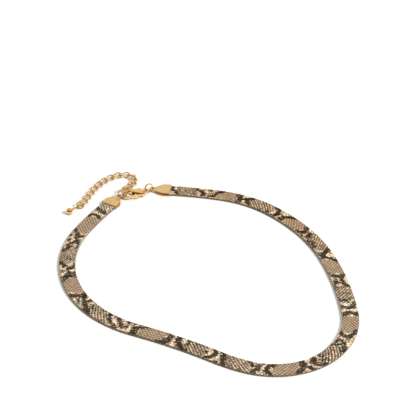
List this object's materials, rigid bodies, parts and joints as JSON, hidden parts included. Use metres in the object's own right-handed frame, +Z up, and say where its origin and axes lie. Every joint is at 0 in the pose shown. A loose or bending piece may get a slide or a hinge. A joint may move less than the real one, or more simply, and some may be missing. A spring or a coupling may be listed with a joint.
{
  "type": "snake chain necklace",
  "caption": "Flat snake-chain necklace with a python print and gold end caps, a lobster clasp and a curb extender that ends in a ball drop, lying in a loop.",
  "frame": {"origin": "centre of the necklace's footprint on the surface that it lies on", "axes": "+Z up from the surface, -Y towards the viewer of the picture, +X to the right in it; the clasp lies at +Y"},
  "size_m": [0.1332, 0.1602, 0.0045],
  "materials": {
    "python_print": "satin",
    "brushed_gold": "satin",
    "polished_gold": "polished"
  },
  "bodies": {
    "necklace": {"band": "python_print", "cap_left": "brushed_gold", "cap_right": "brushed_gold", "ring_left": "polished_gold", "ring_right": "polished_gold", "clasp_body": "polished_gold", "extender_link_01": "polished_gold", "extender_link_02": "polished_gold", "extender_link_03": "polished_gold", "extender_link_04": "polished_gold", "extender_link_05": "polished_gold", "extender_link_06": "polished_gold", "extender_link_07": "polished_gold", "extender_link_08": "polished_gold", "extender_link_09": "polished_gold", "extender_link_10": "polished_gold", "extender_link_11": "polished_gold", "extender_link_12": "polished_gold", "extender_link_13": "polished_gold", "extender_link_14": "polished_gold", "extender_link_15": "polished_gold", "end_ring": "polished_gold", "drop": "polished_gold"},
    "lever": {"clasp_lever": "polished_gold"}
  },
  "joints": [
    {"name": "clasp_lever_hinge", "type": "hinge", "parent": "necklace", "child": "lever", "pos_m": [-0.03174, 0.06113, 0.0013], "axis": [0, 0, -1], "range_deg": [0, 22], "stiffness_Nm_per_rad": 0.01}
  ]
}
